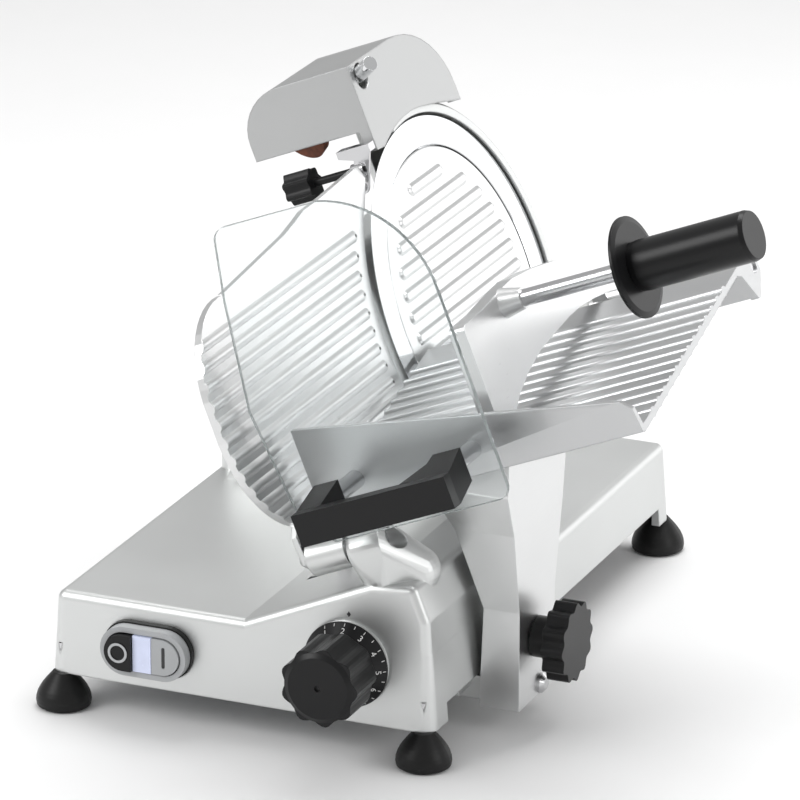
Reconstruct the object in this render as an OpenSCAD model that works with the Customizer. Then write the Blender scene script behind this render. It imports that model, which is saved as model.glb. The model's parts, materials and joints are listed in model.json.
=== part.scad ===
// Gravity-feed meat slicer with a tilted round blade, a sliding food tray,
// a thickness-gauge plate and a top-mounted sharpener. Millimetres.
// Built in a machine frame: x = 0 at the left edge of the base, y = 0 at its
// front face, z = 0 on the table. machine() then moves the origin to the
// middle of the footprint. The head frame is centred on the blade: its x runs
// along the blade axis towards the food, y to the rear, z up the blade face.

/* [Blade] */
// Diameter of the round blade
blade_d = 250; // [240:1:252]
// Lean of the blade plane to the left of upright, degrees
blade_tilt = 22.15; // [21.5:0.05:22.5]
// Blade centre from the left edge of the base
blade_x = 160; // [158:0.5:162]
// Blade centre behind the front face of the base
blade_y = 336.5; // [332:0.5:340]
// Height of the blade centre above the table
blade_z = 207.6; // [206:0.2:210]

/* [Base] */
// Width of the base at its lower edge
base_w = 277.5; // [276:0.5:280]
// Depth of the base at its lower edge
base_d = 431; // [428:1:436]
// Height of the lower edge of the base above the table
base_bottom = 24; // [23:0.5:26]
// Height of the flat deck above the table
deck_z = 81; // [80:0.5:82]
// Wall thickness of the base casting
wall = 5; // [4.5:0.25:5.5]

/* [Carriage] */
// Length of the food tray along the blade axis
tray_len = 241; // [230:1:245]
// Distance of the gauge ribs behind the blade plane at rest
gauge_gap = 2; // [1:0.5:3]

/* [Hidden] */
$fn = 48;
origin_x = 223.1;
origin_y = 212.3;
blade_r = blade_d / 2;
eps = 0.02;
fit = 0.05;

// Body shell of the base
draft = 3.5;
corner_r = 10;
edge_r = 6;
ridge_left = 140.4;
ridge_peak_x = 230;
ridge_peak_z = 120.4;
ridge_right_x = 262;
ridge_right_z = 123.3;
ridge_back = 228;
in_left = 5;
in_right = base_w - 6;
in_front = 7;
in_back = base_d - 6;

// Tower that carries blade and motor
tower_front = 254;
tower_back = 428;
tower_face = -26;
tower_top = 64;
tower_rear = -84;
tower_r = 10;
tower_wall = 5;

// Ring guard around the blade
ring_in = blade_r + 2;
ring_out = blade_r + 10;
ring_front = 2.6;
ring_back = -22;
ring_start = -24;

// Blade drive
shaft_r = 10;
bearing_r = 23.5;
cover_r = 103.4;
pulley_r = 40;
motor_pulley_r = 10;
pulley_x0 = -76;
pulley_x1 = -62;
motor_y = 26;
motor_s = -76;
motor_r = 40;

// Gauge drive
dial_x = 216.3;
dial_z = 64.3;
dial_shaft_r = 5;
cam_min_r = 12;
cam_rise = 13;
cam_sweep = 300;
cam_start = 46;
guide_y = -318;
guide_s = -84;
guide_r = 8;

// Carriage
rod_x = 256;
rod_z = 48;
rod_r = 8;
bar_x = 224;
bar_z = 28;
bar_w = 12;
bar_h = 8;
tray_x0 = 5;
tray_x1 = tray_x0 + tray_len;
tray_rod_y = -70.5;
tray_rod_s = -22.8;
tray_rod_r = 4.5;
arm_x0 = 279;
arm_x1 = 307.5;
lock_y = 104;
lock_z = 60;
arm_bolt_y = 112;
arm_bolt_z = 23.5;

// Food pusher
pusher_x0 = 128;
pusher_x1 = 139;
handle_y = -220;
handle_s = 27;
handle_r = 5.8;
bush_r = 6.5;

// Hand guard
sheet_y0 = -347;
sheet_y1 = -343;

// Sharpener
hood_wall = 3;
post_x = -36;
post_y = 30;
post_r = 7;
clamp_y = -70;
clamp_s = 113.5;

// ---- frames and small helpers ----

module machine() {
  translate([-origin_x, -origin_y, 0]) children();
}

// Blade axis inside the machine frame
module on_blade_axis() {
  translate([blade_x, blade_y, blade_z]) rotate([0, -blade_tilt, 0]) children();
}

module head() {
  machine() on_blade_axis() children();
}

// Machine-frame x, z of a head-frame point
function head_xz(x, s) = [
  blade_x + x * cos(blade_tilt) - s * sin(blade_tilt),
  blade_z + x * sin(blade_tilt) + s * cos(blade_tilt)
];

// Points of an arc about (cx, cy), from angle a0 to a1
function arc(cx, cy, r, a0, a1, n = 8) = [
  for (i = [0:n]) let (a = a0 + (a1 - a0) * i / n) [cx + r * cos(a), cy + r * sin(a)]
];

// Extrude an outline drawn in (y, z) along x
module along_x(x0, x1) {
  translate([x0, 0, 0]) rotate([90, 0, 90]) linear_extrude(x1 - x0) children();
}

// Extrude an outline drawn in (x, z) along y
module along_y(y0, y1) {
  translate([0, y1, 0]) rotate([90, 0, 0]) linear_extrude(y1 - y0) children();
}

module rod_x_dir(x0, x1, r) {
  translate([x0, 0, 0]) rotate([0, 90, 0]) cylinder(h = x1 - x0, r = r);
}

module rod_y_dir(y0, y1, r) {
  translate([0, y0, 0]) rotate([-90, 0, 0]) cylinder(h = y1 - y0, r = r);
}

module box(lo, hi) {
  translate(lo) cube(hi - lo);
}

// Solid of revolution about x, outline given as (radius, x)
module turn_x(points) {
  rotate([90, 0, 90]) rotate_extrude($fn = 96) polygon(points);
}

// Flat capsule outline centred on the origin
module capsule(w, h) {
  r = h / 2;
  polygon(concat(arc(w / 2 - r, 0, r, -90, 90, 16), arc(r - w / 2, 0, r, 90, 270, 16)));
}

// Lobed outline of a hand knob
function lobes(r, depth, count) = [
  for (i = [0:count * 8 - 1]) let (a = 360 * i / (count * 8))
    [(r - depth / 2 + depth / 2 * cos(count * a)) * cos(a),
     (r - depth / 2 + depth / 2 * cos(count * a)) * sin(a)]
];

// ---- base ----

module base_outer() {
  inset = draft + edge_r;
  hull() {
    for (x = [corner_r, base_w - corner_r], y = [corner_r, base_d - corner_r])
      translate([x, y, base_bottom]) cylinder(r = corner_r, h = 1, $fn = 32);
    for (x = [inset, base_w - inset], y = [inset, base_d - inset])
      translate([x, y, deck_z - edge_r]) sphere(edge_r, $fn = 32);
  }
}

// Raised ridge on the right of the deck, with its ramp parallel to the blade axis
module ridge_outer() {
  front = draft + edge_r;
  hull() {
    for (y = [front, ridge_back]) {
      translate([ridge_left + 2.4, y, deck_z - 5.5]) sphere(edge_r, $fn = 32);
      translate([base_w - 9.7, y, deck_z - 8]) sphere(edge_r, $fn = 32);
    }
    for (y = [front, ridge_back - 60]) {
      translate([ridge_peak_x + 2.4, y, ridge_peak_z - 5.5]) sphere(edge_r, $fn = 32);
      translate([ridge_right_x - 3, y, ridge_right_z - edge_r]) sphere(edge_r, $fn = 32);
      translate([base_w - 11, y, 98]) sphere(edge_r, $fn = 32);
    }
  }
}

module tower_outer() {
  left = 16;
  hull() for (y = [tower_front + tower_r, tower_back - tower_r]) {
    for (p = [head_xz(tower_face - tower_r, tower_top - tower_r),
              head_xz(tower_rear + tower_r, tower_top - tower_r)])
      translate([p[0], y, p[1]]) sphere(tower_r, $fn = 32);
    translate([left, y, 128]) sphere(tower_r, $fn = 32);
    translate([left, y, deck_z - 8]) sphere(tower_r, $fn = 32);
    translate([head_xz(tower_face - tower_r, -128)[0], y, deck_z - 8]) sphere(tower_r, $fn = 32);
  }
}

// Concave fillet between the deck and the front of the tower
module tower_fillet() {
  r = 18;
  along_x(20, 150)
    polygon(concat([[tower_front + 4, deck_z - 2]], arc(tower_front - r, deck_z + r, r, -90, 0, 8),
                   [[tower_front + 4, deck_z + r]]));
}

module base_cavity() {
  along_y(in_front, in_back)
    polygon([[in_left, 0], [in_left, deck_z - wall], [in_right, deck_z - wall], [in_right, 0]]);
  along_y(in_front, ridge_back - 62)
    polygon([[ridge_left + 8, deck_z - wall - 1], [ridge_peak_x + 2, ridge_peak_z - wall - 1],
             [ridge_right_x - 4, ridge_right_z - wall - 1], [base_w - 12, 92],
             [in_right, deck_z - wall - 1]]);
  rear_top = head_xz(tower_rear + tower_wall + 1, tower_top - tower_wall - 3);
  face_top = head_xz(tower_face - tower_wall, tower_top - tower_wall - 3);
  face_low = head_xz(tower_face - tower_wall, -122);
  along_y(tower_front + 6, tower_back - 5)
    polygon([[12, deck_z - 10], [12, 126], rear_top, face_top, face_low,
             [face_low[0], deck_z - 10]]);
}

// Ear above the deck for the rod that guides the gauge plate
module gauge_boss() {
  hull() {
    translate([0, guide_y, guide_s - 3]) rotate([0, 90, 0]) {
      translate([0, 0, 25]) cylinder(r = 14, h = 3, $fn = 32);
      translate([0, 0, 28]) cylinder(r = 15.2, h = 22, $fn = 32);
    }
    translate([38, guide_y + 2, -106]) sphere(16, $fn = 32);
    translate([54, guide_y + 14, -112]) sphere(16, $fn = 32);
  }
}

module base_casting() {
  color("gainsboro") difference() {
    union() {
      machine() {
        base_outer();
        ridge_outer();
        tower_outer();
        tower_fillet();
        translate([dial_x, 0, dial_z]) rod_y_dir(-0.9, 6, 28.6);
      }
      head() gauge_boss();
    }
    machine() {
      difference() {
        base_cavity();
        translate([dial_x, 0, dial_z]) rod_y_dir(0, 14, 11);
        for (p = foot_places()) translate([p[0], p[1], 0]) cylinder(r = 5, h = 58);
        box([146, link_y0 - 9, 38], [152, link_y1 + 9, 82]);
        on_blade_axis() rod_x_dir(-190, -152, 21);
      }
      translate([dial_x, 0, dial_z]) rod_y_dir(-10, 30, dial_shaft_r + fit);
      along_y(-5, 12) translate([switch_x, switch_z]) capsule(54.6, 26.6);
      along_y(-5, 3) translate([switch_x, switch_z]) capsule(64.7, 36.7);
      // opening under the right wall for the carriage foot
      box([base_w - 10, 26, 0], [base_w + 5, base_d - 22, 37]);
      translate([gland_x, 0, gland_z]) rod_y_dir(base_d - 12, base_d + 5, 8);
      // slot in the ramp for the gauge link
      box([156, link_y0 - 1, 70], [203, link_y1 + 1, 118]);
      for (p = foot_places()) translate([p[0], p[1], 0]) cylinder(r = 2.6, h = 45);
    }
    head() {
      translate([0, guide_y, guide_s]) {
        rod_x_dir(0, 62, guide_r + fit);
        rod_x_dir(-40, 24.9, 12.7);
      }
      rod_x_dir(-60, 5, bearing_r + eps);
      rod_x_dir(-200, -100, 3.8);
      rod_x_dir(-220, -158, 18);
    }
  }
  color("gainsboro") head() difference() {
    rod_x_dir(-58, tower_face - 2, bearing_r + 6);
    rod_x_dir(-60, 5, bearing_r + eps);
  }
}

module bottom_plate() {
  color("silver") machine() difference() {
    box([in_left, in_front, base_bottom + 0.2], [214, in_back, base_bottom + 1.7]);
    for (p = foot_places()) translate([p[0], p[1], 0]) cylinder(r = 9.5, h = 60);
    for (i = [0:7]) translate([60 + i * 14, 0, 0])
      box([0, 290, 0], [5, 370, 40]);
  }
}

function foot_places() = [
  [8, 4], [base_w - 8, 4], [8, base_d - 4], [base_w - 8, base_d - 4]
];

module rubber_feet() {
  color([0.06, 0.06, 0.06]) machine() for (p = foot_places()) translate([p[0], p[1], 0])
    difference() {
      rotate_extrude() polygon(concat(
        [[0, 0], [16.5, 0], [18.2, 1.2], [18.7, 4]],
        [for (i = [1:7]) let (a = i * 9) [18.7 - 11.5 * (1 - cos(a * 1.43)), 4 + (base_bottom - 4) * i / 7]],
        [[0, base_bottom]]));
      translate([0, 0, -1]) cylinder(r = 5, h = 9);
      cylinder(r = 2.6, h = 60);
    }
}

module foot_screws() {
  color("silver") machine() for (p = foot_places()) translate([p[0], p[1], 0]) {
    translate([0, 0, 4]) cylinder(r = 4.5, h = 4);
    translate([0, 0, 8]) cylinder(r = 2.6, h = 36.5);
  }
}

gland_x = 236;
gland_z = 56;

module cable_gland() {
  color([0.08, 0.08, 0.08]) machine() translate([gland_x, 0, gland_z]) difference() {
    union() {
      rod_y_dir(base_d - 14, base_d - 1, 8);
      rod_y_dir(base_d - 1, base_d + 4, 11);
      translate([0, base_d + 4, 0]) rotate([-90, 0, 0]) cylinder(h = 12, r1 = 9, r2 = 6.5);
    }
    rod_y_dir(base_d - 20, base_d + 20, 3.6);
  }
}

// ---- switch ----

switch_x = 73;
switch_z = 51;

module switch_gasket() {
  color([0.05, 0.05, 0.05]) machine() translate([switch_x, 0, switch_z]) along_y(-1.5, 3) difference() {
    capsule(64.5, 36.5);
    capsule(54.8, 26.8);
  }
}

module switch_bezel() {
  color([0.62, 0.63, 0.64]) machine() translate([switch_x, 0, switch_z]) along_y(-9, -1.5) difference() {
    capsule(62.5, 34.5);
    capsule(54.8, 26.8);
  }
}

module switch_block() {
  color([0.1, 0.1, 0.1]) machine() translate([switch_x, 0, switch_z]) difference() {
    union() {
      along_y(2, in_front) capsule(54, 26);
      box([-31, in_front, -17], [31, 12, 17]);
      box([-26, 12, -12.5], [26, 34, 12.5]);
    }
    for (x = button_x) translate([x, 0, 0]) rod_y_dir(0, 20, 3.1);
  }
}

// One slice of the capsule window between two x positions
module window_part(x0, x1, y0, y1, gap = 0.35) {
  translate([switch_x, 0, switch_z]) along_y(y0, y1) intersection() {
    capsule(54 - 2 * gap, 26 - 2 * gap);
    translate([x0, -20]) square([x1 - x0, 40]);
  }
}

// Middles of the off and on buttons from the middle of the switch
button_x = [-16.5, 15.5];

module off_button() {
  color([0.08, 0.08, 0.08]) machine() {
    window_part(-27, -7.2, -13, -1);
    translate([switch_x + button_x[0], 0, switch_z]) rod_y_dir(-1, 12, 3);
    // raised ring that marks off
    translate([switch_x + button_x[0], 0, switch_z]) difference() {
      rod_y_dir(-13.6, -13 + eps, 7.2);
      rod_y_dir(-14, -12, 5);
    }
  }
}

module on_button() {
  color([0.75, 0.76, 0.77]) machine() difference() {
    union() {
      window_part(6.8, 27, -10.2, -1);
      translate([switch_x + button_x[1], 0, switch_z]) rod_y_dir(-1, 12, 3);
    }
    along_y(-11, -9.7) translate([switch_x + button_x[1], switch_z]) rotate(90) capsule(15, 2.4);
  }
}

module indicator_lens() {
  color([0.85, 0.87, 1]) machine() window_part(-6.8, 6.4, -10.4, 2);
}

// ---- thickness dial ----

module dial_ring() {
  color([0.05, 0.05, 0.05]) machine() translate([dial_x, 0, dial_z]) difference() {
    translate([0, -1.2, 0]) rotate([90, 0, 0]) cylinder(h = 7.8, r1 = 30, r2 = 22.5);
    rod_y_dir(-12, 2, dial_shaft_r);
  }
}

module dial_knob() {
  color([0.12, 0.12, 0.12]) machine() translate([dial_x, 0, dial_z]) difference() {
    union() {
      intersection() {
        along_y(-45, -9) polygon(lobes(27.4, 3.4, 9));
        translate([0, -9, 0]) rotate([90, 0, 0]) {
          cylinder(h = 5.5, r1 = 22.5, r2 = 28);
          translate([0, 0, 5.5]) cylinder(h = 31, r = 28);
        }
      }
      translate([0, -45, 0]) rotate([90, 0, 0]) cylinder(h = 2, r1 = 24.4, r2 = 21);
    }
    rod_y_dir(-38, 2, dial_shaft_r);
    rod_y_dir(-50, -45.5, 2.2);
  }
}

module dial_shaft() {
  color("silver") machine() translate([dial_x, 0, dial_z]) {
    rod_y_dir(-38, 27, dial_shaft_r);
  }
}

// Archimedean cam: its radius towards the follower grows as the dial turns.
// At rest it has already turned by cam_start from the closed end.
function cam_radius(a) = cam_min_r + cam_rise * a / cam_sweep;
follower_dir = 180 + blade_tilt;

module spiral_cam() {
  color("silver") machine() translate([dial_x, 0, dial_z]) difference() {
    along_y(14.5, 20.5) polygon([
      for (i = [0:60]) let (a = cam_sweep * i / 60, r = cam_radius(a))
        [r * cos(follower_dir + cam_start - a), r * sin(follower_dir + cam_start - a)]
    ]);
    rod_y_dir(10, 30, dial_shaft_r);
  }
}

// ---- gauge plate and its slide ----

plate_face = -gauge_gap - 2;
plate_back = plate_face - 5;
rib_pitch = 12.4;

// Outline of the plate in (y, s), with the hollow that follows the blade
function gauge_outline() = concat(
  [[-78, 118], [-140, 115], [-170, 114.5], [-186, 111.5], [-205, 108.5], [-312, 100]],
  arc(-318, 40, 60, 84, 174, 12),
  arc(-290, 22, 88.5, 183, 248, 12),
  [[-309, -83], [-106, -83]],
  arc(0, 0, blade_r + 3, 218, 132, 16),
  [[-74, 108]]
);

module gauge_plate() {
  color("lightgray") head() {
    along_x(plate_back, plate_face) polygon(gauge_outline());
    intersection() {
      along_x(plate_face - 5, -gauge_gap) polygon(gauge_outline());
      union() for (i = [0:12]) {
        s = 79 - i * rib_pitch;
        end_y = -sqrt(142 * 142 - s * s);
        translate([plate_face - 3, 0, s]) rod_y_dir(-390, end_y, 5);
        translate([plate_face - 3, end_y, s]) sphere(5);
      }
    }
  }
}

module gauge_support() {
  color("lightgray") head() difference() {
    union() {
      translate([0, guide_y, guide_s]) {
        rod_x_dir(-7, 22.5, 12.3);
        rod_x_dir(-10, -7, 8);
        translate([-10, 0, 0]) rotate([0, -90, 0]) cylinder(h = 6, r1 = 8, r2 = 4);
      }
      // web up to the back of the plate
      along_x(plate_back - 4, plate_back) polygon([
        [guide_y - 7, guide_s - 2], [guide_y - 9, -66], [guide_y + 6, -50], [guide_y + 60, -50],
        [guide_y + 60, -66], [guide_y + 9, guide_s - 2]]);
    }
    translate([0, guide_y, guide_s]) rod_x_dir(-6, 30, guide_r);
    along_x(plate_back, -gauge_gap + eps) polygon(gauge_outline());
  }
}

module gauge_rod() {
  color("silver") head() translate([0, guide_y, guide_s]) rod_x_dir(-6, 46, guide_r);
}

link_y0 = 72;
link_y1 = 77;
follower_r = 2.5;
link_reach = cam_radius(cam_start) + follower_r + 0.25;
link_x = dial_x + link_reach * cos(follower_dir);
link_z = dial_z + link_reach * sin(follower_dir);

// Follower pin and the strap that joins it to the back of the gauge plate
module gauge_link() {
  top = head_xz(plate_back - 4, -50);
  low = head_xz(plate_back - 4, -66);
  color("silver") machine() {
    translate([link_x, 0, link_z]) rod_y_dir(13, link_y0 + 1, follower_r);
    along_y(link_y0, link_y1) polygon([
      [link_x - 6, link_z - 6], [link_x + 4, link_z - 6], [link_x + 4, link_z + 6],
      [low[0] + 4, 116], [low[0], low[1]], [top[0], top[1]], [top[0] - 6, top[1] - 3],
      [low[0] - 8, 116], [link_x - 7, link_z + 18]]);
  }
}

// Coil spring swept along its helix, axis along +x
module coil(r, wire, turns, length) {
  per = 14;
  sides = 8;
  n = turns * per;
  pts = [for (i = [0:n], j = [0:sides - 1])
    let (a = 360 * i / per, b = 360 * j / sides, rr = r + wire * cos(b))
      [length * i / n + wire * sin(b), rr * cos(a), rr * sin(a)]];
  walls = [for (i = [0:n - 1], j = [0:sides - 1])
    let (k = (j + 1) % sides)
      [i * sides + j, i * sides + k, (i + 1) * sides + k, (i + 1) * sides + j]];
  polyhedron(points = pts, faces = concat(
    [[for (j = [0:sides - 1]) sides - 1 - j]],
    walls,
    [[for (j = [0:sides - 1]) n * sides + j]]), convexity = 6);
}

module gauge_spring() {
  color("dimgray") machine() translate([153.8, (link_y0 + link_y1) / 2, 50])
    rotate([0, -blade_tilt, 0]) coil(5, 0.8, 7, 40);
}

// ---- blade and drive ----

module blade_housing() {
  color("gainsboro") head() difference() {
    intersection() {
      union() {
        turn_x([[0, tower_face], [ring_out, tower_face], [ring_out, ring_front - 2],
                [ring_out - 2, ring_front], [ring_in, ring_front], [ring_in, ring_back],
                [0, ring_back]]);
        box([-46, post_y - 12, 96], [tower_face + 1, post_y + 12, 128]);
      }
      box([-60, ring_start, -150], [20, 150, 150]);
    }
    rod_x_dir(-60, 5, bearing_r + eps);
    translate([post_x, post_y, 90]) cylinder(r = post_r, h = 60);
    // flat where the housing stands on the deck
    rotate([0, blade_tilt, 0]) translate([-blade_x, -blade_y, -blade_z])
      box([0, 200, 0], [300, 500, deck_z + eps]);
  }
}

module blade_bearings() {
  color("silver") head() for (x = [-57.5, -41.5]) difference() {
    rod_x_dir(x, x + 14, bearing_r);
    rod_x_dir(x - 1, x + 15, shaft_r + 0.04);
    // groove between the rings
    turn_ring(x + 12.5, x + 15, 14, 20);
    turn_ring(x - 1, x + 1.5, 14, 20);
  }
}

module turn_ring(x0, x1, r0, r1) {
  difference() {
    rod_x_dir(x0, x1, r1);
    rod_x_dir(x0 - 1, x1 + 1, r0);
  }
}

module blade_shaft() {
  color("silver") head() difference() {
    union() {
      rod_x_dir(-80, -14, shaft_r);
      rod_x_dir(-14, -8, 32);
      rod_x_dir(-27, -14, 13.5);
    }
    rod_x_dir(-90, 0, 4);
    for (a = [45:90:315]) rotate([a, 0, 0]) translate([0, 22, 0]) rod_x_dir(-15, 0, 2.5);
  }
}

module blade() {
  color([0.85, 0.86, 0.88]) head() difference() {
    turn_x([[12, -8], [12, -5], [cover_r + 0.9, -5], [cover_r + 0.9, -0.6], [cover_r + 1.6, 0],
            [blade_r, 0], [blade_r, -0.4], [blade_r - 9, -4], [blade_r - 14, -8]]);
    for (a = [45:90:315]) rotate([a, 0, 0]) translate([0, 22, 0]) rod_x_dir(-10, 0, 2.7);
  }
}

module blade_screws() {
  color("dimgray") head() for (a = [45:90:315]) rotate([a, 0, 0]) translate([0, 22, 0]) {
    rod_x_dir(-13, -5, 2.5);
    difference() {
      rod_x_dir(-5, -3.6, 4.6);
      box([-4.2, -5, -0.6], [-3, 5, 0.6]);
    }
  }
}

module blade_cover() {
  color("whitesmoke") head() {
    turn_x([[0, -3.2], [cover_r - 1, -3.2], [cover_r, -2.4], [cover_r, -1.2],
            [cover_r - 0.8, -0.6], [0, -0.6]]);
    // raised ribs that keep the food from sticking
    intersection() {
      rod_x_dir(-2, 1, 94);
      union() for (i = [0:11]) {
        s = 82.5 - i * 15;
        reach = sqrt(86 * 86 - s * s);
        translate([-4.6, 0, s]) {
          rod_y_dir(-reach, reach, 6);
          for (e = [-reach, reach]) translate([0, e, 0]) sphere(6);
        }
      }
    }
  }
}

module tie_rod() {
  color("silver") head() rod_x_dir(-168, -3.2, 3.5);
}

module tie_rod_knob() {
  color([0.08, 0.08, 0.08]) head() difference() {
    along_x(-176, -158.8) polygon(lobes(15, 2.4, 6));
    rod_x_dir(-168, -150, 3.5);
  }
}

// Ribbed belt pulley, bored for its shaft
module pulley(r, x0, x1, bore) {
  difference() {
    turn_x(concat(
      [[bore, x0], [r + 1.5, x0], [r + 1.5, x0 + 1.5]],
      [for (i = [0:4]) for (k = [0, 1]) [r - 1.2 * k, x0 + 2 + i * 2.2 + k * 1.1]],
      [[r, x1 - 1.5], [r + 1.5, x1 - 1.5], [r + 1.5, x1], [bore, x1]]));
    if (r > 20) for (a = [0:60:300]) rotate([a, 0, 0])
      translate([0, r * 0.6, 0]) rod_x_dir(x0 - 1, x1 + 1, r * 0.19);
  }
}

module blade_pulley() {
  color("darkgray") head() pulley(pulley_r, pulley_x0, pulley_x1, shaft_r);
}

module motor_rotor() {
  color("darkgray") head() translate([0, motor_y, motor_s]) {
    pulley(motor_pulley_r, pulley_x0, pulley_x1, 6);
    rod_x_dir(-88, pulley_x1 + 1, 6);
  }
}

module motor() {
  color([0.3, 0.32, 0.35]) head() translate([0, motor_y, motor_s]) difference() {
    union() {
      rod_x_dir(-150, -86, motor_r);
      rod_x_dir(-86, -82, motor_r - 6);
      for (a = [0:30:330]) rotate([a, 0, 0]) box([-146, motor_r - 1, -1.5], [-90, motor_r + 3, 1.5]);
      // stand-offs that bolt the motor to the wall of the tower
      for (a = [0, 180, 270]) rotate([a, 0, 0])
        translate([0, 34, 0]) rod_x_dir(-87, tower_face - tower_wall, 4);
    }
    rod_x_dir(-90, -80, 6.05);
  }
}

// Tangent outline round two pulleys, drawn with the large one at the origin
function belt_outline(r1, r2, dist) = let (a = acos((r1 - r2) / dist)) concat(
  arc(0, 0, r1, a, 360 - a, 24), arc(dist, 0, r2, -a, a, 12));

module drive_belt() {
  dist = norm([motor_y, motor_s]);
  ang = atan2(motor_s, motor_y);
  color([0.06, 0.06, 0.06]) head() along_x(pulley_x0 + 2, pulley_x1 - 2) rotate(ang) difference() {
    polygon(belt_outline(pulley_r + 3.2, motor_pulley_r + 3.2, dist));
    polygon(belt_outline(pulley_r + 0.2, motor_pulley_r + 0.2, dist));
  }
}

module capacitor() {
  color("white") machine() translate([110, 210, deck_z - wall - 15]) {
    rod_x_dir(0, 62, 15);
    rod_x_dir(62, 66, 5);
  }
}

// ---- carriage ----

module slide_rod() {
  color("silver") machine() translate([rod_x, 0, rod_z]) rod_y_dir(in_front, in_back, rod_r);
}

module guide_bar() {
  color("silver") machine()
    box([bar_x, in_front, bar_z], [bar_x + bar_w, in_back, bar_z + bar_h]);
}

block_y0 = 62;
block_y1 = 140;

module carriage_block() {
  gap = 0.08;
  color("darkgray") machine() difference() {
    union() {
      box([219, block_y0, 26.2], [269.5, block_y1, 62]);
      box([246, 84, 17], [290.5, 124, 33.5]);
      box([279.3, 84, 17], [290.5, 124, 82]);
    }
    translate([rod_x, 0, rod_z]) rod_y_dir(0, 200, rod_r + gap);
    box([bar_x - gap, 0, bar_z - gap], [bar_x + bar_w + gap, 200, bar_z + bar_h + gap]);
    translate([0, lock_y, lock_z]) rod_x_dir(270, 300, 5.1);
    translate([0, arm_bolt_y, arm_bolt_z]) rod_x_dir(262, 300, 3);
  }
}

module carriage_arm() {
  top_left = 246;
  color("lightgray") machine() difference() {
    union() {
      hull() {
        box([arm_x0, 75, 16], [arm_x1, 135, 17]);
        box([arm_x0 + 3, 75, 86], [arm_x1, 137, 87]);
      }
      hull() {
        box([arm_x0 + 3, 75, 86], [arm_x1, 137, 87]);
        box([264, 68, 142], [arm_x1 - 1, 152, 143]);
      }
      hull() {
        box([264, 68, 142], [arm_x1 - 1, 152, 143]);
        box([top_left, 61, 171], [arm_x1 - 3, 162, 172]);
      }
      hull() {
        box([top_left, 61, 171], [arm_x1 - 3, 162, 172]);
        tray_foot();
      }
    }
    // pocket over the upright of the carriage block
    box([270, 83.6, 0], [290.9, 124.4, 84]);
    translate([0, lock_y, lock_z]) rod_x_dir(280, 320, 5.1);
    translate([0, arm_bolt_y, arm_bolt_z]) rod_x_dir(280, 320, 3);
  }
}

// Pad on top of the arm, lying against the sloping underside of the tray
module tray_foot() {
  x0 = 82;
  x1 = 132;
  ya = 66 - blade_y;
  yb = 160 - blade_y;
  along_head_pad = [[ya, tray_under(ya) - 2], [yb, tray_under(yb) - 2],
                    [yb, tray_under(yb) - 0.02], [ya, tray_under(ya) - 0.02]];
  on_blade_axis() along_x(x0, x1) polygon(along_head_pad);
}

module arm_bolt() {
  color("silver") machine() translate([0, arm_bolt_y, arm_bolt_z]) {
    rod_x_dir(264, arm_x1 + 1, 3);
    rod_x_dir(arm_x1, arm_x1 + 2, 7);
    translate([arm_x1 + 2, 0, 0]) rotate([0, 90, 0]) cylinder(h = 2.5, r1 = 7, r2 = 4.2);
  }
}

module arm_lock_knob() {
  color([0.07, 0.07, 0.07]) machine() translate([0, lock_y, lock_z]) {
    rod_x_dir(arm_x1 + 0.7, 322, 14);
    along_x(321.5, 337) polygon(lobes(27.5, 3.6, 12));
    rod_x_dir(280.5, arm_x1 + 1, 5);
  }
}

// Height of the tray's upper floor surface and of its underside at y
slope = tan(11.3);
floor_y0 = -301.5;
floor_s0 = -56.5;
floor_y1 = -92;
function tray_floor(y) = floor_s0 + (y - floor_y0) * slope;
function tray_under(y) = tray_floor(y) - 5;

module tray_floor_outline() {
  polygon([[floor_y0 - 3, floor_s0 - 4.5], [floor_y0 - 5, floor_s0 + 1], [floor_y0, floor_s0 + 1],
           [floor_y1, tray_floor(floor_y1)], [floor_y1 + 2, tray_floor(floor_y1) - 1],
           [floor_y1 + 15, tray_floor(floor_y1) - 26], [floor_y1 + 12, tray_floor(floor_y1) - 27],
           [floor_y1 - 3, tray_under(floor_y1)]]);
}

module tray_fence() {
  x0 = tray_x0;
  x1 = tray_x1;
  y_low = floor_y0 - 6;
  hull() {
    along_x(x0, x0 + 1) polygon([[y_low, -60], [floor_y0 - 1, -60], [-304, 0], [-308, 0]]);
    along_x(x1 - 8, x1) polygon([[y_low, -60], [floor_y0 - 1, -60], [-307, -43], [-311, -43]]);
    along_x(x1 - 16, x1 - 6) polygon([[y_low, -60], [floor_y0 - 1, -60], [-309, -36.5], [-313, -36.5]]);
  }
}

// End plate that holds the rod behind the top of the floor
module tray_web(x0, x1) {
  along_x(x0, x1) polygon([
    [-100, tray_under(-100) + 1], [-97, tray_floor(-97)], [-81, -16], [-66, -15.8],
    [-62.5, -19], [-62.5, -28], [-76, -43], [-79, -43], [-90, -24]]);
}

module food_tray() {
  color("lightgray") head() difference() {
    union() {
      along_x(tray_x0, tray_x1) tray_floor_outline();
      tray_fence();
      tray_web(tray_x0, tray_x0 + 6);
      tray_web(tray_x1 - 6, tray_x1);
      for (i = [0:12]) {
        y = -284 + i * 13.2;
        translate([0, y, tray_floor(y) - 1.2]) rod_x_dir(tray_x0, tray_x1, 3.6);
      }
    }
    translate([0, tray_rod_y, tray_rod_s]) rod_x_dir(0, 260, tray_rod_r);
  }
}

module tray_rod() {
  color("silver") head() translate([0, tray_rod_y, tray_rod_s])
    rod_x_dir(tray_x0 + 1, tray_x1 - 1.5, tray_rod_r);
}

module tray_rod_nut() {
  color("silver") head() translate([0, tray_rod_y, tray_rod_s]) difference() {
    union() {
      rod_x_dir(214, 217, 8);
      rod_x_dir(217, 225, 7);
      rod_x_dir(225, 228, 7.6);
    }
    rod_x_dir(200, 240, tray_rod_r);
  }
}

// ---- food pusher ----

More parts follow.
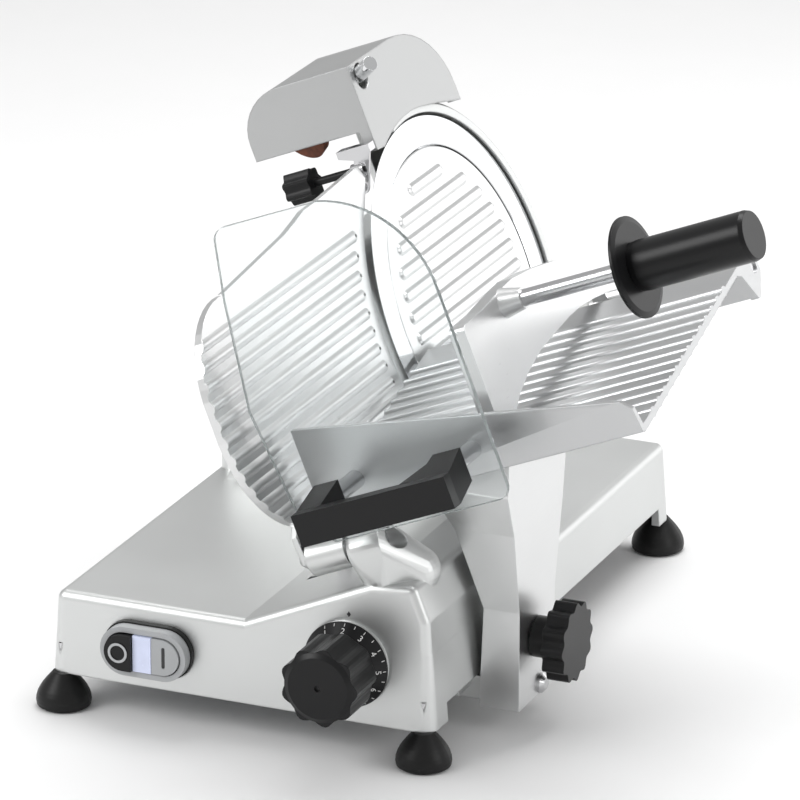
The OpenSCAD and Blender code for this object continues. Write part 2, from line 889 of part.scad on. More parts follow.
function pusher_outline() = concat(
  [[-286, -46.5], [-286, 27]],
  arc(-281, 27.5, 5, 172, 92, 4),
  [[-255, 33], [-218, 36.5], [-198, 37.5], [-167, 34.5], [-127, 28], [-106, 23.5], [-92, 18]],
  arc(tray_rod_y, tray_rod_s + 12, 17, 52, -20, 6),
  [[-58, -24], [-66, -12.5], [-76.7, -12.5], [-97.7, -10], [-120, -8.5], [-139.5, -9],
   [-165.8, -11.4], [-195.6, -14.7], [-222, -21], [-244, -29], [-256, -36], [-264, -44]]
);

module pusher() {
  color("lightgray") head() difference() {
    union() {
      along_x(pusher_x0, pusher_x1) polygon(pusher_outline());
      translate([0, tray_rod_y, tray_rod_s]) rod_x_dir(124, 178, 9.5);
      along_x(pusher_x0, pusher_x1) polygon([[-76, -24], [-80, -8], [-60, -6], [-61, -24]]);
      translate([pusher_x1 - 1, handle_y, handle_s]) rotate([0, 90, 0])
        cylinder(h = 16, r1 = 10.5, r2 = 7);
    }
    translate([0, tray_rod_y, tray_rod_s]) rod_x_dir(100, 200, bush_r + fit);
    translate([0, handle_y, handle_s]) rod_x_dir(pusher_x0 + 4, 160, handle_r);
    // shallow pocket on the food side, with the teeth left standing
    difference() {
      along_x(pusher_x0 - 1, pusher_x0 + 3) polygon([[-280, -40], [-280, 24], [-215, 30],
        [-150, 26], [-150, -4], [-200, -9], [-235, -18], [-262, -36]]);
      for (i = [0:8], k = [0:4])
        translate([pusher_x0, -272 + i * 14, -26 + k * 12]) rotate([0, 90, 0])
          cylinder(h = 4, r = 2.4, $fn = 4);
    }
  }
}

// Plastic sleeve that slides on the tray rod and that the pusher turns on.
// Its peg runs along the folded lip of the tray and stops it from turning.
module pusher_bush() {
  color("white") head() translate([0, tray_rod_y, tray_rod_s]) difference() {
    union() {
      rod_x_dir(114, 123.6, 9.5);
      rod_x_dir(120, 181, bush_r);
      rod_x_dir(178.4, 181, 8.4);
      translate([118.8, 0, -22]) cylinder(r = 4.6, h = 16);
    }
    rod_x_dir(100, 200, tray_rod_r + fit);
  }
}

module pusher_rod() {
  color("silver") head() translate([0, handle_y, handle_s]) rod_x_dir(pusher_x0 + 4, 318, handle_r);
}

module hand_disc() {
  color([0.07, 0.07, 0.07]) head() translate([0, handle_y, handle_s]) difference() {
    turn_x([[5, 234.5], [30, 234.5], [34, 236.5], [34, 238.5], [30, 239.5], [5, 239.5]]);
    rod_x_dir(230, 245, handle_r);
  }
}

module pusher_grip() {
  color([0.1, 0.1, 0.1]) head() translate([0, handle_y, handle_s]) difference() {
    turn_x([[0, 239.5], [16.4, 239.5], [17, 244], [17, 322], [16, 325], [0, 325]]);
    rod_x_dir(230, 318, handle_r);
  }
}

// ---- hand guard of the carriage ----

// Outline of the clear sheet in (x, s) of the head frame
function sheet_outline() = concat(
  [[9, -44], [2.5, 26], [14, 100]],
  arc(33, 138, 10, 165, 92, 6),
  arc(88, 74, 75, 78, 3, 16),
  [[163, 60]],
  arc(152.5, -62.5, 8.5, 0, -90, 6),
  arc(31, -66, 5, 270, 215, 4)
);

module guard_sheet() {
  color([0.9, 0.95, 1, 0.35]) head() difference() {
    along_y(sheet_y0, sheet_y1) polygon(sheet_outline());
    for (x = spacer_x) translate([x, 0, spacer_s]) rod_y_dir(-360, -330, 2.6);
  }
}

spacer_x = [38.5, 128];
spacer_s = -42;

module guard_spacers() {
  color("silver") head() difference() {
    for (x = spacer_x) translate([x, 0, spacer_s]) {
      rod_y_dir(sheet_y1, -306, 6.3);
      rod_y_dir(-356, sheet_y1 + eps, 2.6);
    }
    tray_fence();
  }
}

// A bar across the front, carried by a tapering foot at each spacer
module guard_handle() {
  lo = -62;
  hi = -40;
  color([0.08, 0.08, 0.08]) head() difference() {
    union() {
      box([22, -378, lo], [137, -367, hi]);
      hull() {
        box([22, -369, lo], [40, -368, hi]);
        box([29, sheet_y0 - 1, lo + 10], [47, sheet_y0, -31]);
      }
      hull() {
        box([112, -369, lo], [137, -368, hi]);
        box([119, sheet_y0 - 1, lo + 8], [139, sheet_y0, -31]);
      }
      hull() {
        box([99, -369, lo + 4], [114, -368, hi]);
        box([117, sheet_y0 - 8, lo + 8], [120, sheet_y0 - 7, -34]);
      }
    }
    for (x = spacer_x) translate([x, 0, spacer_s]) rod_y_dir(-356, -330, 2.6);
  }
}

// ---- sharpener ----

// End view of the hood in (x, s): rounded on the left, square on the right
function hood_end(t) = concat(
  [[-86 + t, 137 - 40 * sign(t)], [-86 + t, 149]],
  [for (i = [1:9]) let (a = 180 - 10 * i) [-50 + (36 - t) * cos(a), 149 + (34 - t) * sin(a)]],
  [[6 - t, 183 - t], [6 - t, 100], [-3, 100], [-3, 137 - 40 * sign(t)]]
);

// Side view of the hood in (y, s): upright in front, falling away to the rear
function hood_side(t) = concat(
  [[79.5 - t, 117 - 20 * sign(t)], [79.5 - t, 128]],
  [for (i = [1:9]) let (a = 10 * i) [8 + (71.5 - t) * cos(a), 128 + (55 - t) * sin(a)]],
  [[-62 + t, 183 - t], [-62 + t, 122 - 30 * sign(t)]],
  t > 0 ? [] : concat([[-50, 121]], arc(0, 0, 131, 112, 80, 10), [[45, 125]])
);

module hood_solid(t) {
  intersection() {
    along_y(-90, 110) polygon(hood_end(t));
    along_x(-110, 30) polygon(hood_side(t));
  }
}

module sharpener_hood() {
  color("lightgray") head() difference() {
    hood_solid(0);
    hood_solid(hood_wall);
    translate([0, -47, 172]) rod_x_dir(2, 8, 9.2);
  }
}

module pin_axis() {
  rotate([0, -20.3, -24.4]) children();
}

module sharpener_pin() {
  color("silver") head() translate([5, -48.8, 173.2]) pin_axis() rod_x_dir(-22, 18.5, 5.4);
}

module sharpener_body() {
  color("darkgray") head() difference() {
    union() {
      box([-70, 14, 148], [-8, 41, 172]);
      box([-70, -14, 150], [-16, 16, 172]);
      box([-24, -44, 156], [-6, -10, 172]);
      box([-45, -12, 170], [-25, 6, 183 - hood_wall]);
      translate([post_x, post_y, 129]) cylinder(r = 9.9, h = 21);
    }
    translate([post_x, post_y, 100]) cylinder(r = post_r + fit, h = 72);
    translate([5, -48.8, 173.2]) pin_axis() rod_x_dir(-60, 30, 5.45);
    stone_place(0) rod_y_dir(-60, 60, 3);
    stone_place(1) rod_y_dir(-60, 60, 3);
  }
}

module sharpener_post() {
  color("silver") head() translate([post_x, post_y, 97]) cylinder(r = post_r, h = 70);
}

// The two wheels sit side by side, turned a little towards the blade
module stone_place(which) {
  translate(which == 0 ? [-60, -38, 140] : [-31.5, -33, 140.5]) rotate([24, 0, which == 0 ? -22 : 14])
    children();
}

module sharpening_stone() {
  color([0.45, 0.22, 0.13]) head() stone_place(0) difference() {
    rotate([90, 0, 180]) rotate_extrude() polygon([[0, 0], [18, 0], [18, 7], [15, 11], [0, 11]]);
    rod_y_dir(-20, 40, 3.06);
  }
}

module deburring_stone() {
  color([0.25, 0.25, 0.26]) head() stone_place(1) difference() {
    rotate([90, 0, 180]) rotate_extrude() polygon([[0, 0], [9.5, 0], [9.5, 6], [8, 8], [0, 8]]);
    rod_y_dir(-20, 40, 3.06);
  }
}

module stone_shafts() {
  color("silver") head() for (k = [0, 1]) stone_place(k) {
    rod_y_dir(-2, 40, 3);
    rod_y_dir(-4, -1, 5);
  }
}

// Hanging plate on the front corner of the hood, with the nut for the clamp knob
module sharpener_bracket() {
  color("silver") head() difference() {
    union() {
      along_y(-72, -69) polygon(concat(
        arc(-10.5, 101.5, 5, 160, 340, 8),
        [[-1.5, 110], [5.5, 126.5], [5.5, 129.5], [-17, 129.5], [-20, 128], [-20, 124.5], [-9, 121]]));
      box([-20, -72, 127], [5.5, -62, 129.5]);
      box([-2.8, -72, 124], [5.5, -62, 129.5]);
      translate([0, clamp_y, clamp_s]) rod_x_dir(-13, -3.5, 5);
      translate([-10.5, 0, 101.5]) rod_y_dir(-74, -68, 3.6);
    }
    translate([0, clamp_y, clamp_s]) rod_x_dir(-14, -2, 2.85);
  }
}

module clamp_knob() {
  color([0.07, 0.07, 0.07]) head() translate([0, clamp_y, clamp_s]) {
    along_x(-64, -44) polygon(lobes(11.5, 2.4, 7));
    rod_x_dir(-45, -3, 2.8);
  }
}

base_casting();
bottom_plate();
rubber_feet();
foot_screws();
switch_bezel();
switch_gasket();
switch_block();
off_button();
on_button();
indicator_lens();
dial_ring();
dial_knob();
dial_shaft();
spiral_cam();
gauge_plate();
gauge_support();
gauge_rod();
gauge_link();
gauge_spring();
blade_housing();
blade_bearings();
blade_shaft();
blade();
blade_screws();
blade_cover();
tie_rod();
tie_rod_knob();
blade_pulley();
motor();
motor_rotor();
drive_belt();
capacitor();
cable_gland();
slide_rod();
guide_bar();
carriage_block();
carriage_arm();
arm_bolt();
arm_lock_knob();
food_tray();
tray_rod();
tray_rod_nut();
pusher_bush();
pusher();
pusher_rod();
hand_disc();
pusher_grip();
guard_sheet();
guard_spacers();
guard_handle();
sharpener_hood();
sharpener_body();
sharpener_post();
sharpening_stone();
deburring_stone();
stone_shafts();
sharpener_pin();
sharpener_bracket();
clamp_knob();
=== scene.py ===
"""Looks of a deli meat slicer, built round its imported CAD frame.

All lengths are metres in the CAD frame: x to the right, y to the back, z up.
The head frame leans with the blade: d along the blade axis, y, and s up the blade.
"""
import json
import math

import bmesh
import bpy
from mathutils import Matrix, Vector


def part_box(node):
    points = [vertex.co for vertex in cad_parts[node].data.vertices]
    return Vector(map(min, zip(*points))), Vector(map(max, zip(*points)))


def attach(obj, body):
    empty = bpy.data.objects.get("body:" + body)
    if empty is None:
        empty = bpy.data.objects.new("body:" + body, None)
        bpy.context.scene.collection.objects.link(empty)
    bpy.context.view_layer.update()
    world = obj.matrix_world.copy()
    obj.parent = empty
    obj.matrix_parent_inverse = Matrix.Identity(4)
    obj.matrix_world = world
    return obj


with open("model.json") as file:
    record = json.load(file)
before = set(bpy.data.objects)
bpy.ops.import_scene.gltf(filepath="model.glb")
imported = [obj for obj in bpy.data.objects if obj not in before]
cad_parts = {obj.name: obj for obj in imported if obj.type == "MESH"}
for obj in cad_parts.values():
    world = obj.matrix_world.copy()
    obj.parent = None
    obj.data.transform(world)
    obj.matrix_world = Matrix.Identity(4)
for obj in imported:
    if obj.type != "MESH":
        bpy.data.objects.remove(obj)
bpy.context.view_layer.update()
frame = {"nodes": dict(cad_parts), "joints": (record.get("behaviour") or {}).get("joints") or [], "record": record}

MM = 0.001
JOINTS = {j["name"]: j for j in frame["joints"]}
SLOT_OF = {p["node"]: p["material_slot"] for p in frame["record"]["subparts"]}
BLADE_CENTRE = Vector(JOINTS["blade_spin"]["pos_m"])
BLADE_AXIS = Vector(JOINTS["blade_spin"]["axis"])
UP_BLADE = Vector((-BLADE_AXIS.z, 0, BLADE_AXIS.x))
TO_FRONT = Vector((0, -1, 0))


def head(d, y, s):
    """Point of the head frame, given in millimetres from the blade centre."""
    return BLADE_CENTRE + (BLADE_AXIS * d + Vector((0, y, 0)) + UP_BLADE * s) * MM


# ---- materials ----

NOISE_MIDDLE = (0.3, 0.7)
BEVEL_SAMPLES = 4
WORN_GAIN, WORN_LIFT = 1.6, 0.06


class Surface:
    """A principled material with grain, blotches and softened edges."""

    def __init__(self, name, colour, metallic=0.0):
        self.material = bpy.data.materials.new(name)
        self.material.use_nodes = True
        self.tree = self.material.node_tree
        self.shader = self.tree.nodes["Principled BSDF"]
        self.colour = colour
        self.shader.inputs["Metallic"].default_value = metallic
        self.place = self.add("ShaderNodeTexCoord").outputs["Object"]

    def add(self, kind, **values):
        node = self.tree.nodes.new(kind)
        for key, value in values.items():
            node.inputs[key].default_value = value
        return node

    def join(self, out, into):
        self.tree.links.new(out, into)

    def noise(self, scale, stretch=(1, 1, 1), detail=4.0):
        """Noise with about scale features in a metre, stretched per axis."""
        mapping = self.add("ShaderNodeMapping", Scale=stretch)
        texture = self.add("ShaderNodeTexNoise", Scale=scale, Detail=detail)
        self.join(self.place, mapping.inputs["Vector"])
        self.join(mapping.outputs["Vector"], texture.inputs["Vector"])
        return texture.outputs["Fac"]

    def spread(self, fac, low, high):
        """Maps the middle of a noise onto low..high."""
        node = self.add("ShaderNodeMapRange")
        for socket, value in zip(node.inputs[1:5], (*NOISE_MIDDLE, low, high)):
            socket.default_value = value
        self.join(fac, node.inputs[0])
        return node.outputs[0]

    def shade(self, fac, amount, edge=None, edge_gain=0.0):
        """Base colour that varies by amount, lighter where an edge is worn."""
        mix = self.add("ShaderNodeMix")
        mix.data_type = "RGBA"
        dark = [c * (1 - amount) for c in self.colour] + [1]
        light = [min(1, c * (1 + amount)) for c in self.colour] + [1]
        mix.inputs[6].default_value, mix.inputs[7].default_value = dark, light
        self.join(self.spread(fac, 0, 1), mix.inputs[0])
        out = mix.outputs[2]
        if edge is not None and edge_gain:
            worn = self.add("ShaderNodeMix")
            worn.data_type = "RGBA"
            gain = self.add("ShaderNodeMath")
            gain.operation = "MULTIPLY"
            gain.use_clamp = True
            gain.inputs[1].default_value = edge_gain
            self.join(edge, gain.inputs[0])
            self.join(gain.outputs[0], worn.inputs[0])
            self.join(out, worn.inputs[6])
            bright = [min(1, c * WORN_GAIN + WORN_LIFT) for c in self.colour]
            worn.inputs[7].default_value = bright + [1]
            out = worn.outputs[2]
        self.join(out, self.shader.inputs["Base Color"])

    def rounded(self, radius):
        """Normal of softly rounded edges, and a mask of those edges."""
        bevel = self.add("ShaderNodeBevel", Radius=radius)
        bevel.samples = BEVEL_SAMPLES
        flat = self.add("ShaderNodeNewGeometry")
        dot = self.add("ShaderNodeVectorMath")
        dot.operation = "DOT_PRODUCT"
        self.join(bevel.outputs["Normal"], dot.inputs[0])
        self.join(flat.outputs["Normal"], dot.inputs[1])
        mask = self.add("ShaderNodeMath")
        mask.operation = "SUBTRACT"
        mask.inputs[0].default_value = 1
        self.join(dot.outputs["Value"], mask.inputs[1])
        return bevel.outputs["Normal"], mask.outputs[0]

    def bump(self, height, strength, distance, normal=None):
        """Relief of the given depth in metres, over the rounded normal if there is one."""
        node = self.add("ShaderNodeBump", Strength=strength, Distance=distance)
        self.join(height, node.inputs["Height"])
        if normal is not None:
            self.join(normal, node.inputs["Normal"])
        self.join(node.outputs["Normal"], self.shader.inputs["Normal"])


def make(name, colour, metallic=0.0, rough=(0.35, 0.5), grain=900, stretch=(1, 1, 1),
         relief=0.1, depth=0.05 * MM, blotch=7, vary=0.04, edge=0.5 * MM, wear=0.0, gloss=0.5):
    """One finish: grain and relief set the touch, blotch and vary the tone."""
    s = Surface(name, colour, metallic)
    s.shader.inputs["Specular IOR Level"].default_value = gloss
    fine = s.noise(grain, stretch)
    broad = s.noise(blotch, detail=3.0)
    normal, mask = s.rounded(edge)
    s.shade(broad, vary, mask, wear)
    blend = s.add("ShaderNodeMath")
    blend.operation = "MULTIPLY_ADD"
    blend.inputs[1].default_value = 0.5
    half = s.add("ShaderNodeMath")
    half.operation = "MULTIPLY"
    half.inputs[1].default_value = 0.5
    s.join(broad, half.inputs[0])
    s.join(fine, blend.inputs[0])
    s.join(half.outputs[0], blend.inputs[2])
    s.join(s.spread(blend.outputs[0], *rough), s.shader.inputs["Roughness"])
    s.bump(fine, relief, depth, normal)
    return s.material


def clear_sheet(name):
    """Clear polycarbonate with faint wipe marks."""
    s = Surface(name, (0.95, 0.975, 0.975))
    s.shader.inputs["Transmission Weight"].default_value = 1
    s.shader.inputs["IOR"].default_value = 1.3
    marks = s.noise(60, (1, 1, 7))
    s.shade(s.noise(5), 0.012)
    s.join(s.spread(marks, 0.01, 0.05), s.shader.inputs["Roughness"])
    s.bump(s.noise(14), 0.04, 0.3 * MM)
    return s.material


def lit_lens(name):
    """Translucent lens with a soft glow behind it."""
    s = Surface(name, (0.62, 0.66, 0.84))
    s.shade(s.noise(90), 0.05)
    s.join(s.spread(s.noise(400), 0.15, 0.3), s.shader.inputs["Roughness"])
    s.shader.inputs["Emission Color"].default_value = (0.72, 0.80, 1, 1)
    s.shader.inputs["Emission Strength"].default_value = 0.12
    s.bump(s.noise(300, (1, 1, 6)), 0.15, 0.1 * MM)
    return s.material


def stone(name, colour):
    """Bonded abrasive: coarse grit, dull, uneven."""
    return make(name, colour, rough=(0.8, 0.98), grain=1500, relief=0.8, depth=0.25 * MM,
                blotch=260, vary=0.35, edge=0.4 * MM, wear=0.3)


BRUSHED_ALONG_Y = (9, 0.35, 9)
FINISH = {
    "cast_aluminium": make("cast_aluminium", (0.68, 0.69, 0.685), 1, (0.34, 0.44), 1400,
                           relief=0.12, depth=0.03 * MM, vary=0.03, edge=1.2 * MM, wear=0.25),
    "brushed_aluminium": make("brushed_aluminium", (0.74, 0.745, 0.745), 1, (0.26, 0.40), 160,
                              BRUSHED_ALONG_Y, relief=0.10, depth=0.04 * MM, vary=0.04,
                              edge=0.7 * MM, wear=0.3),
    "sheet_steel": make("sheet_steel", (0.46, 0.47, 0.48), 1, (0.3, 0.5), 300, (6, 0.5, 6)),
    "bright_steel": make("bright_steel", (0.60, 0.60, 0.61), 1, (0.14, 0.26), 900, (1, 5, 1),
                         relief=0.08, edge=0.4 * MM),
    "spring_steel": make("spring_steel", (0.28, 0.28, 0.29), 1, (0.3, 0.5)),
    "blade_steel": make("blade_steel", (0.70, 0.71, 0.72), 1, (0.10, 0.2), 500, (2, 2, 2),
                        relief=0.05, depth=0.02 * MM, vary=0.03, edge=0.2 * MM),
    "chrome_pin": make("chrome_pin", (0.78, 0.79, 0.80), 1, (0.04, 0.1), 700,
                       relief=0.03, edge=0.6 * MM),
    "black_plastic": make("black_plastic", (0.006, 0.006, 0.0065), 0, (0.26, 0.38), 2200,
                          relief=0.2, depth=0.03 * MM, vary=0.15, edge=0.8 * MM, wear=0.1,
                          gloss=0.28),
    "grey_plastic": make("grey_plastic", (0.40, 0.41, 0.42), 0, (0.28, 0.42), 2000,
                         relief=0.15, edge=0.6 * MM, wear=0.2),
    "white_plastic": make("white_plastic", (0.78, 0.78, 0.76), 0, (0.3, 0.45), 1800,
                          relief=0.12, edge=0.5 * MM),
    "black_rubber": make("black_rubber", (0.006, 0.006, 0.006), 0, (0.36, 0.5), 1600,
                         relief=0.3, depth=0.05 * MM, vary=0.25, edge=1.0 * MM, wear=0.1,
                         gloss=0.3),
    "motor_paint": make("motor_paint", (0.10, 0.11, 0.12), 0, (0.35, 0.5), 500, relief=0.3),
    "brown_stone": stone("brown_stone", (0.17, 0.055, 0.03)),
    "grey_stone": stone("grey_stone", (0.07, 0.07, 0.075)),
    "clear_sheet": clear_sheet("clear_sheet"),
    "lens": lit_lens("lens"),
}
PRINT_WHITE = make("print_white", (0.80, 0.80, 0.79), 0, (0.4, 0.55), 2500)
PRINT_GREY = make("print_grey", (0.45, 0.46, 0.47), 0, (0.35, 0.5), 2500)
PRINT_DARK = make("print_dark", (0.03, 0.03, 0.032), 0, (0.4, 0.55), 2500)

# Darker, slightly rougher copies of the aluminium finish for the tray and the hood: the darker colour is painted
# shade, standing in for the darker reflections on these faces
PAINTED_SHADE_FINISH = {
    "food_tray": make("tray_aluminium_painted_shade", (0.57, 0.575, 0.58), 1, (0.30, 0.44), 160,
                      BRUSHED_ALONG_Y, depth=0.04 * MM, edge=0.7 * MM, wear=0.4),
    "sharpener_hood": make("hood_aluminium_painted_shade", (0.50, 0.505, 0.505), 1, (0.36, 0.46), 1400,
                           relief=0.12, depth=0.03 * MM, edge=1.5 * MM, wear=0.3),
}
for name, obj in frame["nodes"].items():
    obj.data.materials.clear()
    # the tray and the hood take their darker copies, which are painted shade
    obj.data.materials.append(PAINTED_SHADE_FINISH.get(name) or FINISH[SLOT_OF[name]])


# ---- small pieces ----


def piece(name, mesh, material, body, place=Matrix.Identity(4)):
    """Adds a mesh as a piece that rides on a body."""
    obj = bpy.data.objects.new(name, mesh)
    bpy.context.scene.collection.objects.link(obj)
    mesh.transform(place)
    mesh.materials.append(material)
    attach(obj, body)
    return obj


def prism(outlines, thick, chamfer):
    """Flat plates from outlines in (x, y), rising to thick with a chamfered rim."""
    mesh = bpy.data.meshes.new("prism")
    bm = bmesh.new()
    for outline in outlines:
        middle = Vector((sum(p[0] for p in outline), sum(p[1] for p in outline))) / len(outline)
        rings = []
        for shrink, z in ((0, 0), (0, thick - chamfer), (chamfer, thick)):
            ring = []
            for p in outline:
                q = Vector(p) - middle
                q *= max(0.0, 1 - shrink / max(q.length, 1e-6))
                ring.append(bm.verts.new((*(q + middle), z)))
            rings.append(ring)
        n = len(outline)
        for a, b in zip(rings, rings[1:]):
            for i in range(n):
                bm.faces.new((a[i], a[(i + 1) % n], b[(i + 1) % n], b[i]))
        bm.faces.new(rings[-1])
        bm.faces.new(rings[0][::-1])
    bm.normal_update()
    bm.to_mesh(mesh)
    bm.free()
    return mesh


def merged(parts):
    """One mesh from several (mesh, matrix) pairs."""
    mesh = bpy.data.meshes.new("merged")
    bm = bmesh.new()
    for part, place in parts:
        part.transform(place)
        bm.from_mesh(part)
        bpy.data.meshes.remove(part)
    bm.to_mesh(mesh)
    bm.free()
    return mesh


def ring_band(inner, outer, thick, steps=64):
    """Flat ring with a softly crowned top."""
    mesh = bpy.data.meshes.new("ring_band")
    bm = bmesh.new()
    soft = (outer - inner) * 0.2
    profile = ((inner, 0), (inner, thick * 0.7), (inner + soft, thick),
               (outer - soft, thick), (outer, thick * 0.7), (outer, 0))
    loops = []
    for i in range(steps):
        a = math.tau * i / steps
        loops.append([bm.verts.new((r * math.cos(a), r * math.sin(a), z)) for r, z in profile])
    for i in range(steps):
        a, b = loops[i], loops[(i + 1) % steps]
        for k in range(len(profile)):
            m = (k + 1) % len(profile)
            bm.faces.new((a[k], b[k], b[m], a[m]))
    bmesh.ops.recalc_face_normals(bm, faces=bm.faces)
    bm.to_mesh(mesh)
    bm.free()
    return mesh


def disc(radius, steps=20):
    """Outline of a round dot."""
    turns = [math.tau * i / steps for i in range(steps)]
    return [(radius * math.cos(a), radius * math.sin(a)) for a in turns]


FONT_SIZE_PER_HEIGHT = 1.4


def glyph(text, height, thick):
    """Mesh of one generic figure, centred, in the plane of x and y."""
    curve = bpy.data.curves.new("glyph", "FONT")
    curve.body = text
    curve.size = height * FONT_SIZE_PER_HEIGHT
    curve.align_x = "CENTER"
    curve.align_y = "CENTER"
    curve.extrude = thick / 2
    holder = bpy.data.objects.new("glyph", curve)
    bpy.context.scene.collection.objects.link(holder)
    bpy.context.view_layer.update()
    shown = holder.evaluated_get(bpy.context.evaluated_depsgraph_get())
    mesh = bpy.data.meshes.new_from_object(shown)
    bpy.data.objects.remove(holder)
    xs = [v.co.x for v in mesh.vertices]
    ys = [v.co.y for v in mesh.vertices]
    mesh.transform(Matrix.Translation((-(min(xs) + max(xs)) / 2, -(min(ys) + max(ys)) / 2, 0)))
    return mesh


def facing(point, normal, up):
    """Matrix that lays x, y, z of a small piece along right, up and normal at a point."""
    z = normal.normalized()
    x = up.cross(z).normalized()
    y = z.cross(x)
    return Matrix.Translation(point) @ Matrix((x, y, z)).transposed().to_4x4()


def surface_point(node, start, direction):
    """Where a ray from start first meets a CAD node, with the normal there."""
    hit, point, normal, _ = frame["nodes"][node].ray_cast(start, direction)
    if not hit:
        raise RuntimeError(f"no surface of {node} lies that way")
    return point, normal


UP = Vector((0, 0, 1))

# Dial: figures and ticks printed on the cone of the ring
dial_centre = Vector(JOINTS["dial_turn"]["pos_m"])
DIAL_STEP = math.radians(30)
DIAL_FIGURES = ("1", "2", "3", "4", "5", "6", "X")
FIGURE_RADIUS, FIGURE_HEIGHT = 25.3 * MM, 4.2 * MM
TICK_RADIUS, TICK_HALF = 28.3 * MM, (0.25 * MM, 1.1 * MM)


def on_dial(step, radius):
    """Place on the ring, a number of steps clockwise from its top."""
    out = Vector((math.sin(step * DIAL_STEP), 0, math.cos(step * DIAL_STEP)))
    point, normal = surface_point("dial_ring", dial_centre + out * radius + TO_FRONT, -TO_FRONT)
    return facing(point, normal, out)


for k, figure in enumerate(DIAL_FIGURES):
    piece(f"dial_figure_{figure}", glyph(figure, FIGURE_HEIGHT, 0.2 * MM), PRINT_WHITE, "dial",
          on_dial(k - 1, FIGURE_RADIUS))
tick = [(x * TICK_HALF[0], y * TICK_HALF[1]) for x, y in ((-1, -1), (1, -1), (1, 1), (-1, 1))]
piece("dial_ticks", merged([(prism([tick], 0.15 * MM, 0.05 * MM), on_dial(k / 2 - 1, TICK_RADIUS))
                            for k in range(2 * len(DIAL_FIGURES) - 1)]),
      PRINT_WHITE, "dial")

# Pointer above the dial
POINTER_RISE = 33.6 * MM
above_dial = Vector((dial_centre.x + 0.2 * MM, -1, dial_centre.z + POINTER_RISE))
point, normal = surface_point("base_casting", above_dial, -TO_FRONT)
POINTER_HALF = (1.5 * MM, 2.0 * MM)
diamond = [(0, -POINTER_HALF[1]), (POINTER_HALF[0], 0), (0, POINTER_HALF[1]), (-POINTER_HALF[0], 0)]
piece("dial_pointer", prism([diamond], 0.2 * MM, 0.1 * MM), PRINT_DARK, "frame",
      facing(point, normal, UP))

# Marks on the switch buttons
off_low, off_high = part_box("off_button")
on_low, on_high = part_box("on_button")
switch_z = (off_low.z + off_high.z) / 2
# each mark sits a little towards the round end's middle, not halfway along its button
off_x = (off_low.x + off_high.x) / 2 + 0.6 * MM
on_x = (on_low.x + on_high.x) / 2 - 1.4 * MM
piece("off_mark", ring_band(5.2 * MM, 7.0 * MM, 0.2 * MM), PRINT_GREY, "off_button",
      facing(Vector((off_x, off_low.y, switch_z)), TO_FRONT, UP))
HALF_BAR, BAR_R = 6.2 * MM, 1.05 * MM
bar = [(BAR_R * math.cos(a), math.copysign(HALF_BAR, math.pi - a) + BAR_R * math.sin(a))
       for a in (math.pi * (i + 0.5) / 8 for i in range(16))]
piece("on_mark", prism([bar], 0.35 * MM, 0.05 * MM), PRINT_DARK, "on_button",
      facing(Vector((on_x, on_low.y + 0.45 * MM, switch_z)), TO_FRONT, UP))

# Small moulding dots at the ends of the anti-stick ribs
GAUGE_RIBS, GAUGE_PITCH, GAUGE_TOP, GAUGE_HOLLOW = 13, 12.4, 79, 142
COVER_RIBS, COVER_PITCH, COVER_TOP, COVER_REACH = 12, 15, 82.5, 86
DOT = (1.2 * MM, 0.12 * MM, 0.05 * MM)


def rib_dots(node, ends):
    """Dots on a plate where the ribs end, at (y, s) in millimetres."""
    dots = []
    for y, s in ends:
        point, normal = surface_point(node, head(60, y, s), -BLADE_AXIS)
        dots.append((prism([disc(DOT[0])], *DOT[1:]), facing(point, normal, UP_BLADE)))
    return merged(dots)


gauge_rows = [GAUGE_TOP - i * GAUGE_PITCH for i in range(GAUGE_RIBS)]
cover_rows = [COVER_TOP - i * COVER_PITCH for i in range(COVER_RIBS)]
piece("gauge_dots", rib_dots("gauge_plate", [(-math.sqrt(GAUGE_HOLLOW ** 2 - s ** 2), s)
                                             for s in gauge_rows]),
      PRINT_DARK, "gauge")
piece("cover_dots", rib_dots("blade_cover", [(math.sqrt(COVER_REACH ** 2 - s ** 2) + 4, s)
                                             for s in cover_rows]),
      PRINT_GREY, "frame")

# Pale cut edge of the clear sheet, just under its rim: painted highlight, a rough, frosted-looking grey shell
# standing in for the light the cut edge catches, in place of a dark internal reflection
EDGE_INSET = 0.2 * MM


def sheet_edge():
    """The rim faces of the clear sheet, shrunk to lie inside it."""
    mesh = bpy.data.meshes.new("sheet_edge")
    bm = bmesh.new()
    bm.from_mesh(frame["nodes"]["guard_sheet"].data)
    bmesh.ops.remove_doubles(bm, verts=bm.verts, dist=1e-6)
    bm.normal_update()
    flats = [f for f in bm.faces if abs(f.normal.y) > 0.5]
    bmesh.ops.delete(bm, geom=flats, context="FACES_ONLY")
    bmesh.ops.delete(bm, geom=[e for e in bm.edges if not e.link_faces], context="EDGES")
    bm.normal_update()
    middle = sum((v.co.y for v in bm.verts), 0.0) / len(bm.verts)
    shifts = {v: sum((f.normal for f in v.link_faces), Vector()).normalized() for v in bm.verts}
    for v, out in shifts.items():
        v.co -= out * EDGE_INSET
        v.co.y = middle + (v.co.y - middle) * 0.9
    bm.to_mesh(mesh)
    bm.free()
    return mesh


# grey, partly clear shell whose colour is a painted highlight on the sheet's edge
edge_painted_sheen = Surface("sheet_edge", (0.62, 0.66, 0.66))
edge_painted_sheen.shader.inputs["Transmission Weight"].default_value = 0.45
edge_painted_sheen.shader.inputs["IOR"].default_value = 1.1
edge_painted_sheen.shade(edge_painted_sheen.noise(120), 0.12)
edge_painted_sheen.join(edge_painted_sheen.spread(edge_painted_sheen.noise(900), 0.35, 0.6),
                 edge_painted_sheen.shader.inputs["Roughness"])
rim = sheet_edge()
rim.materials.clear()
piece("guard_sheet_edge", rim, edge_painted_sheen.material, "carriage")

# ---- stage, lights and camera ----


FLOOR_HALF, FLOOR_DROP = 6, 0.4 * MM


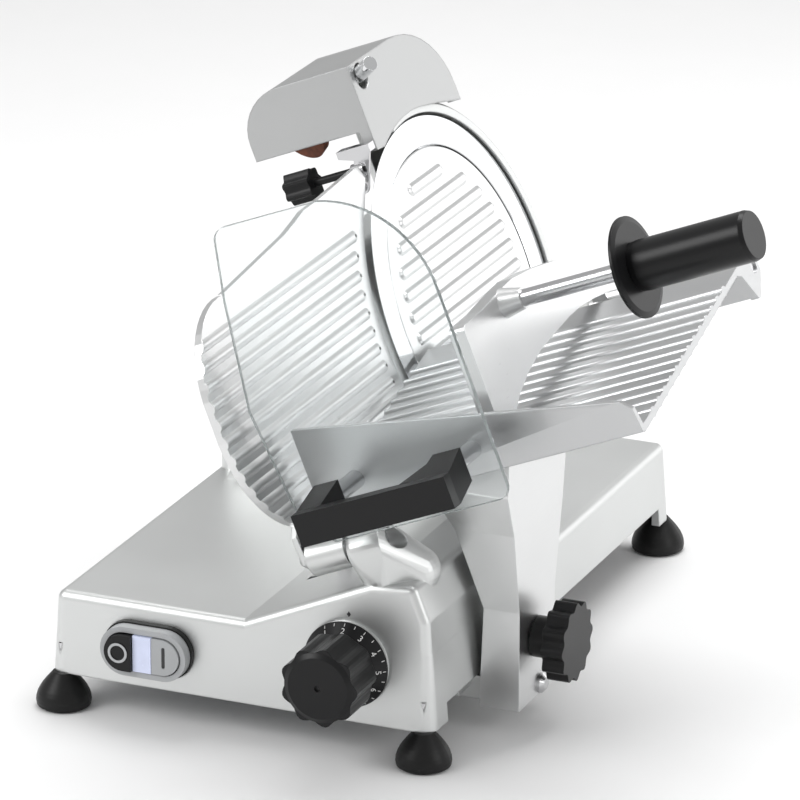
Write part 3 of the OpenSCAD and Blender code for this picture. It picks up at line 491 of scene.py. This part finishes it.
def ground():
    """Plain pale floor, a little under the feet."""
    mesh = bpy.data.meshes.new("floor")
    half = FLOOR_HALF
    mesh.from_pydata([(-half, -half, 0), (half, -half, 0), (half, half, 0), (-half, half, 0)],
                     [], [(0, 1, 2, 3)])
    obj = bpy.data.objects.new("floor", mesh)
    bpy.context.scene.collection.objects.link(obj)
    s = Surface("floor", (0.86, 0.86, 0.86))
    s.shade(s.noise(3), 0.01)
    s.join(s.spread(s.noise(40), 0.6, 0.7), s.shader.inputs["Roughness"])
    mesh.materials.append(s.material)
    obj.location.z = -FLOOR_DROP


LIGHT_AIM = Vector((0, 0, 0.18))


def area_light(name, place, size, power):
    """Rectangular light; size in metres and power in watts."""
    light = bpy.data.lights.new(name, "AREA")
    light.shape = "RECTANGLE"
    light.size, light.size_y = size
    light.energy = power
    obj = bpy.data.objects.new(name, light)
    obj.location = place
    obj.rotation_euler = (LIGHT_AIM - Vector(place)).to_track_quat("-Z", "Y").to_euler()
    bpy.context.scene.collection.objects.link(obj)


ground()
world = bpy.data.worlds.new("studio")
world.use_nodes = True
world.node_tree.nodes["Background"].inputs["Color"].default_value = (0.9, 0.9, 0.9, 1)
world.node_tree.nodes["Background"].inputs["Strength"].default_value = 0.63
bpy.context.scene.world = world
bpy.context.scene.view_settings.view_transform = "Standard"
area_light("key", (-1.5, -1.6, 1.6), (1.0, 1.4), 24)
area_light("right_fill", (2.0, -0.3, 0.9), (0.7, 1.4), 8)
area_light("top", (0.1, 0.6, 2.0), (1.8, 1.2), 30)
area_light("back_right", (1.2, 2.1, 0.5), (1.6, 1.2), 7)

AZIMUTH, ELEVATION = math.radians(23.313), math.radians(20.115)
CAMERA_FROM_BLADE = Vector((1.65137, -3.94966, 1.48660))
LENS = 294.16
camera = bpy.data.objects.new("camera", bpy.data.cameras.new("camera"))
camera.data.sensor_width = 36
camera.data.lens = LENS
camera.data.clip_end = 50
camera.location = BLADE_CENTRE + CAMERA_FROM_BLADE
camera.rotation_euler = (math.pi / 2 - ELEVATION, 0, AZIMUTH)
bpy.context.scene.collection.objects.link(camera)
bpy.context.scene.camera = camera
